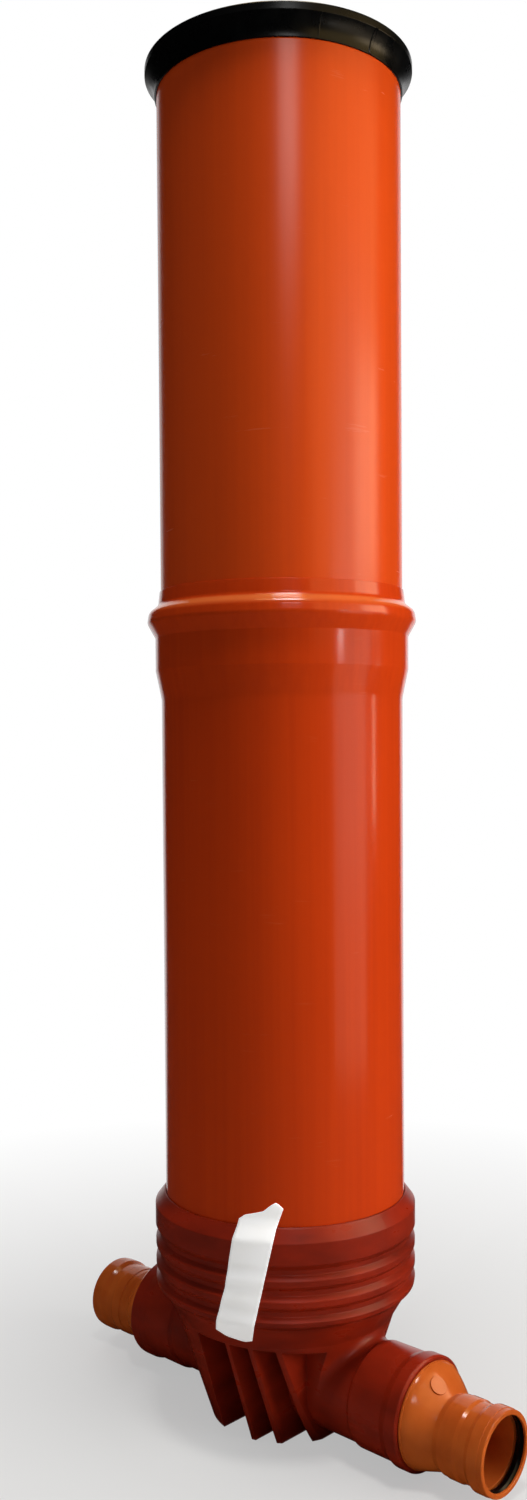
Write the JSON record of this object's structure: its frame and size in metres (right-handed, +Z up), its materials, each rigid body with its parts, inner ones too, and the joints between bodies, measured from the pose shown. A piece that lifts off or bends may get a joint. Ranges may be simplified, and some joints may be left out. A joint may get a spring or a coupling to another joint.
{
  "type": "plastic inspection chamber",
  "caption": "Upright sewer inspection chamber: ribbed plastic base with a straight run channel, stacked smooth riser pipes, flared rubber top seal and a reducer on each outlet.",
  "frame": {"origin": "on the floor under the riser axis, at the middle of the base", "axes": "+Z up along the risers, +X along the run channel towards the right-hand outlet of the picture's view, +Y to the back"},
  "size_m": [0.876, 0.4444, 2.2245],
  "materials": {
    "base_plastic": "satin",
    "riser_plastic": "satin",
    "reducer_plastic": "satin",
    "seal_rubber": "satin"
  },
  "bodies": {
    "root": {"chamber_base": "base_plastic", "lower_riser_pipe": "riser_plastic", "upper_riser_pipe": "riser_plastic", "telescope_seal": "seal_rubber", "right_reducer": "reducer_plastic", "left_reducer": "reducer_plastic", "riser_socket_ring": "seal_rubber", "base_collar_ring": "seal_rubber", "right_reducer_ring": "seal_rubber", "left_reducer_ring": "seal_rubber", "right_outlet_ring": "seal_rubber", "left_outlet_ring": "seal_rubber"}
  },
  "joints": []
}
